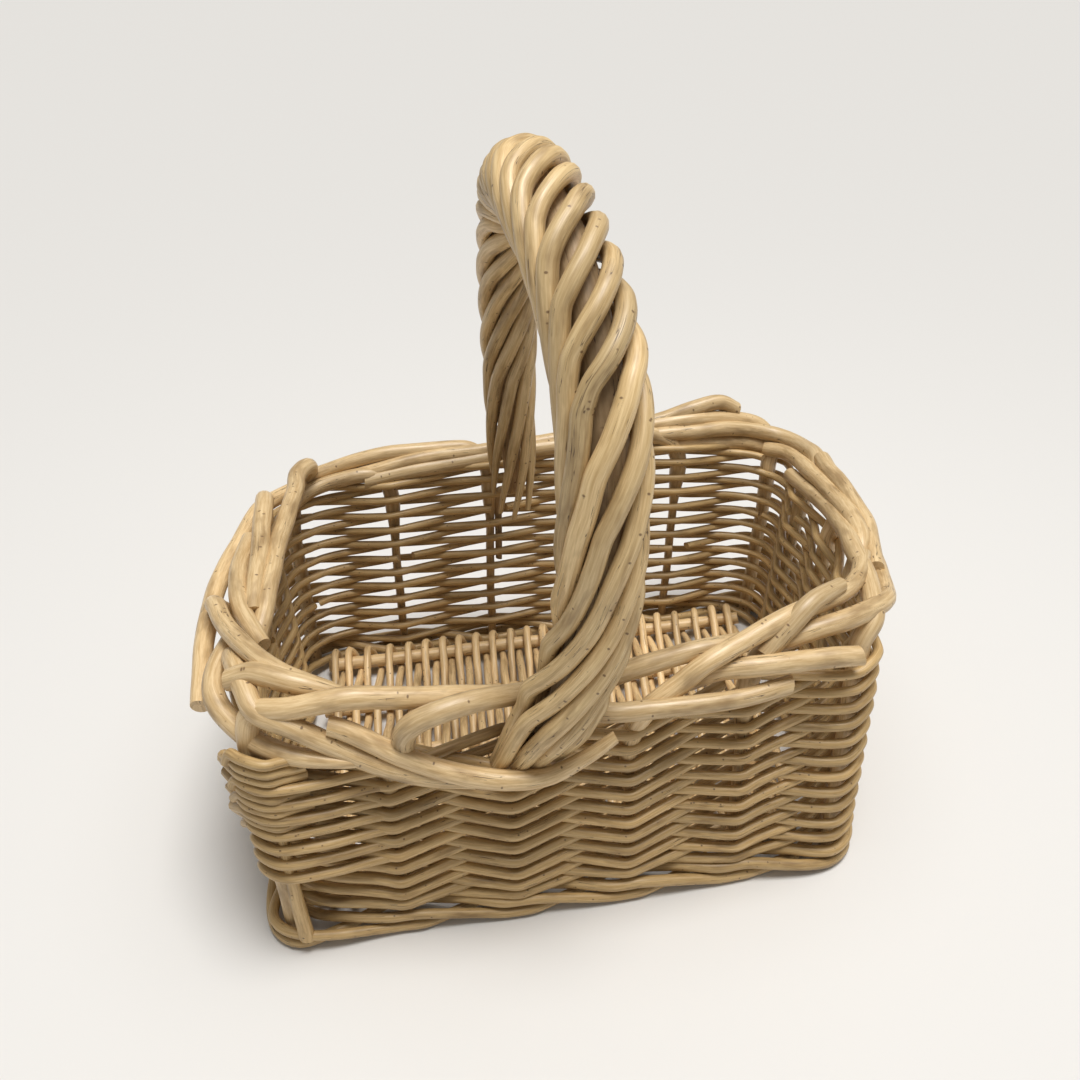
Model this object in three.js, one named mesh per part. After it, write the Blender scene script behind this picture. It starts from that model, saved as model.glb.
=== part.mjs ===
// A small oblong willow basket with a roped handle over its middle.
// Lengths are in millimetres. X runs along the basket, Y goes from the front to the back and Z is up.
// Places along the wall are counted in stakes, counter-clockwise seen from above: place 0 is the
// front left corner post, 1 to 4 are the front stakes, 5 is the front right corner post, and so on.
import * as THREE from 'three';

// Plan of the wall, measured on the centres of its stakes at the floor and at the rim.
const baseHalfLength = 117;
const baseHalfWidth = 82;
const baseEndBulge = 5;
const baseSideBulge = 4;
const rimHalfLength = 120;
const rimHalfWidth = 78;
const rimEndBulge = 10;
const rimSideBulge = 6;
const rimHeight = 113;
const cornerRise = 5;

// Rods, as radii where they are round.
const stakeRadius = 2.2;
const postRadius = 3.5;
const weaverRadius = 1.65;
const waleRadius = 2.3;
const baseStickRadius = 3.2;
const baseWeaverRadius = 1.9;
const borderRadius = 3.2;
const bowRadius = 7;
const bowTipRadius = 1.7;
const wrapRadius = 2.9;

// Room that neighbouring rods leave each other.
const rodClearance = 0.3;
const stakeClearance = 0.45;
const floorClearance = 0.7;
const baseWeaveClearance = 0.6;
const wrapClearance = 1.25;

// Heights and lengths of the handle, and how far its two feet stand off the wall's line.
const handleTop = 267;
const nearWrapEndDrop = 5;
const farWrapEndDrop = 17;
const farWrapEndSpread = 15;
const nearFootReach = 12;
const farFootReach = 16;
const nearFootOut = 11.5;
const farFootIn = 18;
const handleFootX = -14;
const handleLean = 20;
const bowTipDepth = 40;
const nearWrapEndHeight = rimHeight - nearWrapEndDrop;
const farWrapEndHeight = rimHeight - farWrapEndDrop;
const nearFootHeight = nearWrapEndHeight - nearFootReach;
const farFootHeight = farWrapEndHeight - farFootReach;

// Counts.
const stakesPerFront = 4;
const stakesPerEnd = 3;
const waleRods = 3;
const baseSticks = 5;
const baseStrokes = 48;
const wrapRods = 8;
const wrapTurns = 3.6;
const baseWeaverSides = 4;
const baseStickSides = 6;
const weaverSides = 5;
const stakeSides = 5;
const bowSides = 8;
const bowRings = 24;
const wrapRings = 33;
const strokeTurnSteps = 4;

// Corners of the plan, counter-clockwise from the front left, as shares of the half length and half
// width. The basket was made by hand, so its right end stands askew.
const baseCornerShares = [[-0.985, -1.05], [0.92, -1.01], [1.06, 0.975], [-1, 0.95]];
const rimCornerShares = [[-0.97, -1.01], [0.92, -0.91], [1.09, 1.06], [-0.95, 0.98]];

// Shares: parts of one gap between stakes, of a rod's diameter or of the handle's size.
const holdShare = 0.14;
const rowStartStep = 7;
const rowEndShare = 0.85;
const waleLiftShare = 0.6;
const waleStepShare = 0.37;
const waleOutShares = [1, 1, 1, 0, -1, 0];
const waleUpShares = [1, 0, -1, -1, 0, 1];
const borderReachShares = [
  1.7, 3.25, 3.2, 3.1, 3.25, 2.6, 2.7, 2.5, 2.6, 2.7, 2.55, 2.65, 2.5, 2.7, 2.6, 2.5, 2.65, 2.55,
];
const borderOutShares = [0, 0.3, 1.1, 0.99, 2.04, 1.86, 0.1, -0.3];
const borderUpShares = [0, -0.4, -1.5, -2.5, -2.2, -0.4, 1.05, 1];
const borderRoomShare = 3.14;
const borderFirstRingShare = 0.12;
const borderRingStepShare = 0.24;
const innerSwerveShare = 2.15;
const outerSwerveShare = 2.2;
const swerveHalfWidthShare = 0.43;
const stakeRingShares = [0, 0.05, 0.45, 0.8];
const kinkStepShare = 0.01;
const kinkDropShare = 0.7;
const stickRingShares = [-1, -0.75, -0.5, 0, 0.5, 0.75, 1];
const archAcrossShares = [-1, -1, -0.965, -0.81, -0.485, 0, 0.485, 0.81, 0.965, 1, 0.99];
const archRiseShares = [0, 0.26, 0.51, 0.74, 0.92, 1, 0.93, 0.77, 0.55, 0.3, 0];
const archLeanShares = [0, 0.83, 1.06, 1.15, 0.92, 0.6, 0.55, 0.5, 0.45, 0.4, 0.35];
const wrapTurnShares = [0, 0.14, 0.38, 0.66, 0.87, 1];
const wrapFacingShare = 0.96;
const bowFirstRingShare = 0.012;
const bowLastRingShare = 0.945;
const bowTipTaperShares = [1, 1, 1.2];
const bowFootTaperShares = [0.55, 0.8];
const curveTension = 0.5;

const longGaps = stakesPerFront + 1;
const shortGaps = stakesPerEnd + 1;
const halfRound = longGaps + shortGaps;
const stakeCount = 2 * halfRound;
const borderPitch = 2 * (borderRadius + rodClearance);

// Colours of the peeled willow.
const willow = {
  base: { color: 0xb9925f, roughness: 0.62, metalness: 0 },
  stake: { color: 0xa98254, roughness: 0.6, metalness: 0 },
  weaver: { color: 0xc6a06b, roughness: 0.58, metalness: 0 },
  handle: { color: 0xcfab78, roughness: 0.52, metalness: 0 },
};

const basket = new THREE.Group();

function addRod(name, geometry, finish) {
  const rod = new THREE.Mesh(geometry, new THREE.MeshStandardMaterial(willow[finish]));
  rod.name = name;
  basket.add(rod);
}

// One closed rod: a ring of corners round each centre, carried along without twist, and two flat ends.
function rodGeometry(centres, radiusAt, sides) {
  const positions = [];
  const index = [];
  const last = centres.length - 1;
  const across = new THREE.Vector3();
  centres.forEach((centre, ring) => {
    const along = centres[Math.min(ring + 1, last)].clone().sub(centres[Math.max(ring - 1, 0)]).normalize();
    if (ring === 0) {
      across.set(along.z, along.x, along.y);
    }
    across.addScaledVector(along, -across.dot(along)).normalize();
    const upward = along.clone().cross(across);
    for (let corner = 0; corner < sides; corner += 1) {
      const turn = (2 * Math.PI * corner) / sides;
      const point = centre.clone();
      point.addScaledVector(across, radiusAt(ring) * Math.cos(turn));
      point.addScaledVector(upward, radiusAt(ring) * Math.sin(turn));
      positions.push(point.x, point.y, point.z);
    }
  });
  for (let ring = 0; ring < last; ring += 1) {
    for (let corner = 0; corner < sides; corner += 1) {
      const a = ring * sides + corner;
      const b = ring * sides + ((corner + 1) % sides);
      index.push(a, b, b + sides, a, b + sides, a + sides);
    }
  }
  for (let corner = 1; corner < sides - 1; corner += 1) {
    index.push(0, corner + 1, corner);
    index.push(last * sides, last * sides + corner, last * sides + corner + 1);
  }
  const geometry = new THREE.BufferGeometry();
  geometry.setAttribute('position', new THREE.Float32BufferAttribute(positions, 3));
  geometry.setIndex(index);
  geometry.computeVertexNormals();
  return geometry;
}

// Which side of the basket a place is on, and how far across that side, from -1 to 1.
function sideOf(place) {
  const step = THREE.MathUtils.euclideanModulo(place, halfRound);
  const onLongSide = step <= longGaps;
  const across = onLongSide ? (2 * step) / longGaps - 1 : (2 * (step - longGaps)) / shortGaps - 1;
  return { onLongSide, across };
}

// The closed line through all stakes at one level: from corner to corner, each side bulging a little.
function planCurve(halfLength, halfWidth, cornerShares, endBulge, sideBulge) {
  const points = [];
  for (let stake = 0; stake < stakeCount; stake += 1) {
    const { onLongSide, across } = sideOf(stake);
    const corner = (stake < halfRound ? 0 : 2) + (onLongSide ? 0 : 1);
    const [fromX, fromY] = cornerShares[corner];
    const [toX, toY] = cornerShares[(corner + 1) % cornerShares.length];
    const part = (across + 1) / 2;
    const bulge = (1 - across * across) * (stake < halfRound ? 1 : -1);
    points.push(new THREE.Vector3(
      halfLength * THREE.MathUtils.lerp(fromX, toX, part) + (onLongSide ? 0 : endBulge * bulge),
      halfWidth * THREE.MathUtils.lerp(fromY, toY, part) - (onLongSide ? sideBulge * bulge : 0),
      0,
    ));
  }
  return new THREE.CatmullRomCurve3(points, true, 'catmullrom', curveTension);
}

const footCurve = planCurve(baseHalfLength, baseHalfWidth, baseCornerShares, baseEndBulge, baseSideBulge);
const rimCurve = planCurve(rimHalfLength, rimHalfWidth, rimCornerShares, rimEndBulge, rimSideBulge);

// A point of the wall at a place and height, moved outward from the line of the stakes.
function wallPoint(place, height, outward = 0) {
  const share = THREE.MathUtils.euclideanModulo(place, stakeCount) / stakeCount;
  const lean = THREE.MathUtils.clamp(height / rimHeight, 0, 1);
  const along = footCurve.getTangent(share).lerp(rimCurve.getTangent(share), lean).normalize();
  const point = footCurve.getPoint(share).lerp(rimCurve.getPoint(share), lean);
  point.x += along.y * outward;
  point.y -= along.x * outward;
  point.z = height;
  return point;
}

// Rods rise a little towards the corners, the more the higher they lie.
function liftedBy(place, height) {
  const { across } = sideOf(place);
  return height + (cornerRise * across * across * height) / rimHeight;
}

function isCorner(stake) {
  const step = stake % halfRound;
  return step === 0 || step === longGaps;
}

function radiusOfStake(stake) {
  return isCorner(THREE.MathUtils.euclideanModulo(stake, stakeCount)) ? postRadius : stakeRadius;
}

// How far outward a rod's centre lies where it passes a stake without touching it.
function passOffset(stake, radius) {
  return radiusOfStake(stake) + radius + stakeClearance;
}

// Places where a rod has a ring beside a stake: it bends round a corner post, and runs straight past others.
function placesPast(stake) {
  const middle = isCorner(THREE.MathUtils.euclideanModulo(stake, stakeCount)) ? [stake] : [];
  return [stake - holdShare, ...middle, stake + holdShare];
}

// How far a rod has changed over from one stake to the next: it runs straight past each stake.
function changeOver(place) {
  const part = place - Math.floor(place);
  return THREE.MathUtils.clamp((part - holdShare) / (1 - 2 * holdShare), 0, 1);
}

const stakeNames = [];
['front', 'right', 'back', 'left'].forEach((side, turn) => {
  const corners = ['front_left', 'front_right', 'back_right', 'back_left'];
  stakeNames.push(`corner_post_${corners[turn]}`);
  const between = turn % 2 === 0 ? stakesPerFront : stakesPerEnd;
  for (let number = 1; number <= between; number += 1) {
    stakeNames.push(`${side}_stake_${number}`);
  }
});

// Base: long sticks, bowed like the walls beside them, and one rod woven to and fro across them.
const waleInnerReach = stakeRadius + 2 * waleRadius + stakeClearance;
const baseWeaveOffset = baseStickRadius + baseWeaverRadius + baseWeaveClearance;
const baseHeight = floorClearance + baseWeaveOffset + baseWeaverRadius;
const baseEdgeInset = waleInnerReach + rodClearance + baseWeaverRadius + baseWeaveOffset;
const postInset = postRadius + 2 * waleRadius + stakeClearance + baseWeaverRadius + rodClearance;
const strokeReachShare = 1 - postInset / baseHalfLength;
const stickReachShare = strokeReachShare + (2 * baseWeaverRadius) / baseHalfLength;
const strokeStepShare = (2 * strokeReachShare) / (baseStrokes - 1);
const outerStick = (baseSticks - 1) / 2;

// A point of the base: along runs from -1 at the left end to 1 at the right, stick from front to back.
function basePoint(along, stick, upward = 0) {
  const front = wallPoint((longGaps * (1 + along)) / 2, baseHeight, -baseEdgeInset);
  const back = wallPoint(halfRound + (longGaps * (1 - along)) / 2, baseHeight, -baseEdgeInset);
  const point = front.lerp(back, (stick / outerStick + 1) / 2);
  point.z += upward;
  return point;
}

for (let stick = -outerStick; stick <= outerStick; stick += 1) {
  const centres = stickRingShares.map((share) => basePoint(share * stickReachShare, stick));
  const geometry = rodGeometry(centres, () => baseStickRadius, baseStickSides);
  addRod(`base_stick_${stick + outerStick + 1}`, geometry, 'base');
}

function baseWeaver() {
  const centres = [];
  for (let stroke = 0; stroke < baseStrokes; stroke += 1) {
    const heading = stroke % 2 === 0 ? 1 : -1;
    const along = stroke * strokeStepShare - strokeReachShare;
    for (let step = -outerStick; step <= outerStick; step += 1) {
      const above = (step * heading + stroke) % 2 === 0 ? 1 : -1;
      centres.push(basePoint(along, step * heading, above * baseWeaveOffset));
    }
    if (stroke < baseStrokes - 1) {
      const above = (outerStick * heading + stroke) % 2 === 0 ? 1 : -1;
      for (let step = 1; step < strokeTurnSteps; step += 1) {
        const part = step / strokeTurnSteps;
        const upward = above * baseWeaveOffset * Math.cos(Math.PI * part);
        const point = basePoint(along + strokeStepShare * part, outerStick * heading, upward);
        point.y += heading * baseWeaveOffset * Math.sin(Math.PI * part);
        centres.push(point);
      }
    }
  }
  return rodGeometry(centres, () => baseWeaverRadius, baseWeaverSides);
}

addRod('base_weaver', baseWeaver(), 'base');

// Bottom band: three rods twisted round the stakes, each outside two stakes and inside the third.
const waleLift = waleLiftShare * (2 * waleRadius + rodClearance);
const waleHeight = floorClearance + waleLift + waleRadius;

function shareBetween(shares, position) {
  const low = Math.floor(position);
  const high = low + 1;
  return THREE.MathUtils.lerp(shares[low % shares.length], shares[high % shares.length], position - low);
}

function waleRod(rod) {
  const first = rod + 2;
  const places = [first, first + holdShare];
  for (let stake = first + 1; stake < first + stakeCount; stake += 1) {
    places.push(stake - 1 + waleStepShare, stake - waleStepShare, ...placesPast(stake));
  }
  places.push(first + stakeCount - 1 + waleStepShare, first + stakeCount - 1 + rowEndShare);
  const centres = places.map((place) => {
    const stake = Math.floor(place);
    const change = changeOver(place);
    const phase = 2 * (THREE.MathUtils.euclideanModulo(stake - rod, waleRods) + change);
    const reachHere = passOffset(stake, waleRadius);
    const reachNext = passOffset(stake + 1, waleRadius);
    const reach = THREE.MathUtils.lerp(reachHere, reachNext, change);
    const height = waleHeight + waleLift * shareBetween(waleUpShares, phase);
    return wallPoint(place, height, reach * shareBetween(waleOutShares, phase));
  });
  return rodGeometry(centres, () => waleRadius, weaverSides);
}

for (let rod = 0; rod < waleRods; rod += 1) {
  addRod(`wale_rod_${rod + 1}`, waleRod(rod), 'weaver');
}

// Side weave: each rod goes round once, outside one stake and inside the next, its ends on the inside.
// As many rows as fit under the border fill the wall.
const firstRowHeight = waleHeight + waleLift + waleRadius + rodClearance + weaverRadius;
const weaveHeight = rimHeight - borderRoomShare * borderPitch - firstRowHeight;
const rowGaps = Math.floor(weaveHeight / (2 * weaverRadius + rodClearance));
const weaverRows = rowGaps + 1;
const rowPitch = weaveHeight / rowGaps;

function sideWeaver(row) {
  const first = rowStartStep * row + 1;
  const places = [first, first + holdShare];
  for (let stake = first + 1; stake < first + stakeCount; stake += 1) {
    places.push(...placesPast(stake));
  }
  places.push(first + stakeCount - 1 + rowEndShare);
  const centres = places.map((place) => {
    const stake = Math.floor(place);
    const outside = (stake + row) % 2 === 0 ? 1 : -1;
    const before = outside * passOffset(stake, weaverRadius);
    const after = -outside * passOffset(stake + 1, weaverRadius);
    const height = liftedBy(place, firstRowHeight + row * rowPitch);
    return wallPoint(place, height, THREE.MathUtils.lerp(before, after, changeOver(place)));
  });
  return rodGeometry(centres, () => weaverRadius, weaverSides);
}

for (let row = 0; row < weaverRows; row += 1) {
  addRod(`side_weaver_${row + 1}`, sideWeaver(row), 'weaver');
}

// The place on a long side, counted from its first corner post, that lies at one length along the basket.
function placeOnSide(corner, x) {
  const fromX = rimHalfLength * rimCornerShares[corner][0];
  const toX = rimHalfLength * rimCornerShares[corner + 1][0];
  return (corner / 2) * halfRound + (longGaps * (x - fromX)) / (toX - fromX);
}

// Handle line: up from the near foot outside the front wall, over, and down inside the back wall.
const topX = handleFootX + handleLean / 2;
const nearLegPlace = placeOnSide(0, topX);
const farLegPlace = placeOnSide(2, topX);
const nearFootY = wallPoint(nearLegPlace, rimHeight, nearFootOut).y;
const farFootY = wallPoint(farLegPlace, rimHeight, -farFootIn).y;
const archMiddleY = (nearFootY + farFootY) / 2;
const archHalfSpan = (farFootY - nearFootY) / 2;
const topIndex = archRiseShares.indexOf(1);

const arch = new THREE.CatmullRomCurve3(archAcrossShares.map((across, index) => {
  const footHeight = index < topIndex ? nearFootHeight : farFootHeight;
  return new THREE.Vector3(
    handleFootX + handleLean * archLeanShares[index],
    archMiddleY + archHalfSpan * across,
    THREE.MathUtils.lerp(footHeight, handleTop, archRiseShares[index]),
  );
}));

// Where the border makes way for the near leg, and the stakes that the bow's ends are pushed down beside.
const rimGap = (2 * rimHalfLength) / longGaps;
const nearFootPlace = placeOnSide(0, handleFootX);
const nearTipStake = Math.floor(nearLegPlace);
const farTipStake = Math.ceil(farLegPlace);
const nearInnerSwerve = borderPitch * innerSwerveShare;
const nearOuterSwerve = borderPitch * outerSwerveShare;

function swerveBell(place, centre) {
  const share = Math.abs(place - centre) / swerveHalfWidthShare;
  return share >= 1 ? 0 : Math.cos((share * Math.PI) / 2) ** 2;
}

// Border: each stake top is bent over, runs down past two stakes and comes up over the next one.
const borderCurve = new THREE.CatmullRomCurve3(
  borderOutShares.map((out, half) => new THREE.Vector3(half / 2, out, borderUpShares[half])),
  false,
  'catmullrom',
  curveTension,
);

function borderPoint(stake, run) {
  const shares = borderCurve.getPoint((2 * run) / (borderOutShares.length - 1));
  const place = stake + run;
  const inside = run < 1;
  const swerve = inside ? -nearInnerSwerve : nearOuterSwerve;
  const outward = borderPitch * shares.y + swerve * swerveBell(place, inside ? nearLegPlace : nearFootPlace);
  return wallPoint(place, liftedBy(place, rimHeight) + borderPitch * shares.z, outward);
}

function stakeRod(stake) {
  const radius = radiusOfStake(stake);
  const reach = borderReachShares[stake % borderReachShares.length];
  const kinkHeight = liftedBy(stake, rimHeight);
  const centres = stakeRingShares.map((share) => wallPoint(stake, kinkHeight * share));
  const foot = centres[0];
  centres[1].set(foot.x, foot.y, centres[1].z);
  const radii = centres.map(() => radius);
  centres.push(wallPoint(stake, kinkHeight - borderPitch));
  centres.push(wallPoint(stake + kinkStepShare, kinkHeight - borderRadius * kinkDropShare));
  for (let run = borderFirstRingShare; run < reach; run += borderRingStepShare) {
    centres.push(borderPoint(stake, run));
  }
  centres.push(borderPoint(stake, reach));
  return rodGeometry(centres, (ring) => radii[ring] ?? borderRadius, stakeSides);
}

stakeNames.forEach((name, stake) => addRod(name, stakeRod(stake), 'stake'));

// Handle bow: the thick stick under the wraps. Its pared ends go down into the weave beside a stake.
function bowTip(stake, side, foot) {
  const place = stake + side * (stakeRadius + bowTipRadius + 2 * rodClearance) / rimGap;
  const top = firstRowHeight + weaverRows * rowPitch;
  const outward = Math.sign(foot) * weaverRadius;
  const shoulder = wallPoint(place, top + weaverRadius, outward);
  return [shoulder, wallPoint(place, top), wallPoint(place, top - bowTipDepth)];
}

function handleBow() {
  const centres = [];
  for (let ring = 0; ring <= bowRings; ring += 1) {
    const share = THREE.MathUtils.lerp(bowFirstRingShare, bowLastRingShare, ring / bowRings);
    centres.push(arch.getPointAt(share));
  }
  const nearTip = bowTip(nearTipStake, 1, nearFootOut).reverse();
  const farTip = bowTip(farTipStake, -1, -farFootIn);
  const tipRadii = bowTipTaperShares.map((share) => bowTipRadius * share);
  const footRadii = bowFootTaperShares.map((share) => bowRadius * share);
  const radii = [...tipRadii, ...footRadii];
  const all = [...nearTip, ...centres, ...farTip];
  const radiusAt = (ring) => radii[Math.min(ring, all.length - 1 - ring)] ?? bowRadius;
  return rodGeometry(all, radiusAt, bowSides);
}

addRod('handle_bow', handleBow(), 'base');

// Handle wraps: rods wound side by side round the bow, steeper on the legs than over the top.
const wrapOffset = bowRadius + wrapRadius + wrapClearance;
const archLength = arch.getLength();

function wrapPoint(wrap, share) {
  const centre = arch.getPointAt(share);
  const along = arch.getTangentAt(share);
  const sideways = new THREE.Vector3(1, 0, 0);
  sideways.addScaledVector(along, -sideways.dot(along)).normalize();
  const outward = along.clone().cross(sideways);
  const turned = shareBetween(wrapTurnShares, share * (wrapTurnShares.length - 1));
  const angle = 2 * Math.PI * (wrap / wrapRods + wrapTurns * turned);
  centre.addScaledVector(sideways, wrapOffset * Math.cos(angle));
  centre.addScaledVector(outward, wrapOffset * Math.sin(angle));
  return centre;
}

function handleWrap(wrap) {
  const start = (nearWrapEndHeight - nearFootHeight) / archLength;
  const facing = wrapPoint(wrap, wrapFacingShare).sub(arch.getPointAt(wrapFacingShare)).normalize();
  const endHeight = farWrapEndHeight + farWrapEndSpread * facing.y;
  const end = 1 - (endHeight - farFootHeight) / archLength;
  const centres = [];
  for (let ring = 0; ring <= wrapRings; ring += 1) {
    centres.push(wrapPoint(wrap, THREE.MathUtils.lerp(start, end, ring / wrapRings)));
  }
  return rodGeometry(centres, () => wrapRadius, weaverSides);
}

for (let wrap = 0; wrap < wrapRods; wrap += 1) {
  addRod(`handle_wrap_${wrap + 1}`, handleWrap(wrap), 'handle');
}

// The origin is on the floor under the middle of the whole basket.
const box = new THREE.Box3().setFromObject(basket);
const middle = box.getCenter(new THREE.Vector3());
basket.position.set(-middle.x, -middle.y, 0);

export default basket;
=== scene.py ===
import math
import bmesh
import bpy
import numpy as np
from mathutils import Matrix, Vector


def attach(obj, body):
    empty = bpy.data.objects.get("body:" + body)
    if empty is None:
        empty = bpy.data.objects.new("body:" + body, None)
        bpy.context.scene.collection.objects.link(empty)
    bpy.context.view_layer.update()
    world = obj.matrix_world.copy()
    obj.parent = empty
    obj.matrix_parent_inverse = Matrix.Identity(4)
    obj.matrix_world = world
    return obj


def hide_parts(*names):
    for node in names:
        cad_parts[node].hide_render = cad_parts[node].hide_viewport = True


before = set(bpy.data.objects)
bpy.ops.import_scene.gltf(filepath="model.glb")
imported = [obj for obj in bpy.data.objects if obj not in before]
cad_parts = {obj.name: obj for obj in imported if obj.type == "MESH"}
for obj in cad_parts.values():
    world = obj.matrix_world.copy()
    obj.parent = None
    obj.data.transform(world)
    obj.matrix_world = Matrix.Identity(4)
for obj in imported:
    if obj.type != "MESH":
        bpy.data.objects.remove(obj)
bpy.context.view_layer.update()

# Base: five long willow sticks lie side by side and one thinner rod is woven to and fro across them. It
# fills the ring of the upright stakes, so the plan of the wall comes first. Every rod is peeled willow:
# round, tapering from butt to tip, never quite straight, and cut with a knife.
stakes_per_front = 4
stakes_per_end = 3
front_gaps = stakes_per_front + 1
end_gaps = stakes_per_end + 1
half_round = front_gaps + end_gaps
stake_count = 2 * half_round

# The corners run from the front left round by the right, and places on the wall are counted in stakes
# the same way.
plan_middle = np.array((-0.00442, 0.00142))
foot_corners = np.array(((-0.11525, -0.0861), (0.10764, -0.08282), (0.12402, 0.07995), (-0.117, 0.0779)))
rim_corners = np.array(((-0.1164, -0.07878), (0.1104, -0.07098), (0.1308, 0.08268), (-0.114, 0.07644)))
foot_corners = foot_corners + plan_middle
rim_corners = rim_corners + plan_middle
rim_height = 0.113
plan_count = stake_count * 100 + 1
plan_places = np.linspace(0, stake_count, plan_count)


def side_of(place):
    """Whether a place is on a long side, and how far across that side, from -1 to 1."""
    step = np.mod(place, half_round)
    on_long_side = step <= front_gaps
    across = np.where(on_long_side, 2 * step / front_gaps - 1, 2 * (step - front_gaps) / end_gaps - 1)
    return on_long_side, across


def bend_through(points, count, closed=False, slack=False):
    """A smooth bend through points, as a rod takes when it is held at each of them."""
    points = [np.asarray(point, float) for point in points]
    number = len(points)
    spans = number if closed else number - 1
    bend = []
    for step in np.linspace(0, spans, count):
        low = min(int(step), spans - 1)
        part = step - low
        near, far = points[low % number], points[(low + 1) % number]
        before = points[(low - 1) % number] if closed or low > 0 else 2 * near - far
        after = points[(low + 2) % number] if closed or low + 2 < number else 2 * far - near
        leave, arrive = (far - before) / 2, (after - near) / 2
        if slack:
            first = math.sqrt(np.linalg.norm(near - before))
            second = math.sqrt(np.linalg.norm(far - near))
            third = math.sqrt(np.linalg.norm(after - far))
            leave = ((near - before) / first - (far - before) / (first + second)
                     + (far - near) / second) * second
            arrive = ((far - near) / second - (after - near) / (second + third)
                      + (after - far) / third) * second
        square, cube = part * part, part * part * part
        bend.append(near * (2 * cube - 3 * square + 1) + leave * (cube - 2 * square + part)
                    + far * (3 * square - 2 * cube) + arrive * (cube - square))
    return np.array(bend)


def plan_line(corners, end_bulge, side_bulge):
    """The closed line through all stakes at one level, bulging outward between the corners."""
    points = []
    for stake in range(stake_count):
        on_long_side, across = side_of(stake)
        corner = (0 if stake < half_round else 2) + (0 if on_long_side else 1)
        part = (across + 1) / 2
        point = corners[corner] * (1 - part) + corners[(corner + 1) % 4] * part
        bulge = (1 - across * across) * (1 if stake < half_round else -1)
        if on_long_side:
            points.append(point + np.array((0, -side_bulge * bulge)))
        else:
            points.append(point + np.array((end_bulge * bulge, 0)))
    return bend_through(points, plan_count, closed=True)


foot_line = plan_line(foot_corners, end_bulge=0.005, side_bulge=0.004)
rim_line = plan_line(rim_corners, end_bulge=0.010, side_bulge=0.006)


def heading_along(line):
    """Unit steps along a closed plan line."""
    steps = np.roll(line[:-1], -1, axis=0) - np.roll(line[:-1], 1, axis=0)
    steps = np.vstack((steps, steps[:1]))
    return steps / np.linalg.norm(steps, axis=1)[:, None]


foot_heading = heading_along(foot_line)
rim_heading = heading_along(rim_line)


def on_plan(table, places):
    """Points or headings at places between the stakes, read from a plan line."""
    return np.column_stack([np.interp(places, plan_places, table[:, side]) for side in (0, 1)])


def wall_points(places, heights, outward=0.0):
    """Points of the wall by place and height, moved outward from the line of the stakes."""
    places, heights, outward = np.broadcast_arrays(np.asarray(places, float), heights, outward)
    places = np.mod(np.atleast_1d(places), stake_count)
    heights, outward = np.atleast_1d(heights).astype(float), np.atleast_1d(outward)
    lean = np.clip(heights / rim_height, 0, 1)[:, None]
    along = on_plan(foot_heading, places) * (1 - lean) + on_plan(rim_heading, places) * lean
    along /= np.linalg.norm(along, axis=1)[:, None]
    spots = on_plan(foot_line, places) * (1 - lean) + on_plan(rim_line, places) * lean
    spots[:, 0] += along[:, 1] * outward
    spots[:, 1] -= along[:, 0] * outward
    return np.column_stack((spots, heights))


def even_steps(route, step):
    """The same route in equal steps."""
    lengths = np.linalg.norm(np.diff(route, axis=0), axis=1)
    run = np.concatenate(((0,), np.cumsum(lengths)))
    stops = np.linspace(0, run[-1], max(int(round(run[-1] / step)), 4) + 1)
    return np.column_stack([np.interp(stops, run, route[:, side]) for side in range(3)]), run[-1]


def soften(route, reach, step):
    """Rounds the sharp turns of a route as far as the rod's own stiffness does."""
    half = int(round(3 * reach / step))
    if half < 1 or len(route) <= half + 1:
        return route
    weights = np.exp(-0.5 * (np.arange(-half, half + 1) * step / reach) ** 2)
    weights /= weights.sum()
    before = 2 * route[0] - route[half:0:-1]
    after = 2 * route[-1] - route[-2:-half - 2:-1]
    padded = np.vstack((before, route, after))
    return np.column_stack([np.convolve(padded[:, side], weights, mode="valid") for side in range(3)])


def slow_noise(run, lengths, chance):
    """A gentle uneven line along a rod, within about -1 to 1."""
    waves = [np.sin(2 * np.pi * (run / length + chance.random())) for length in lengths]
    return sum(waves) / len(waves)


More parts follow.
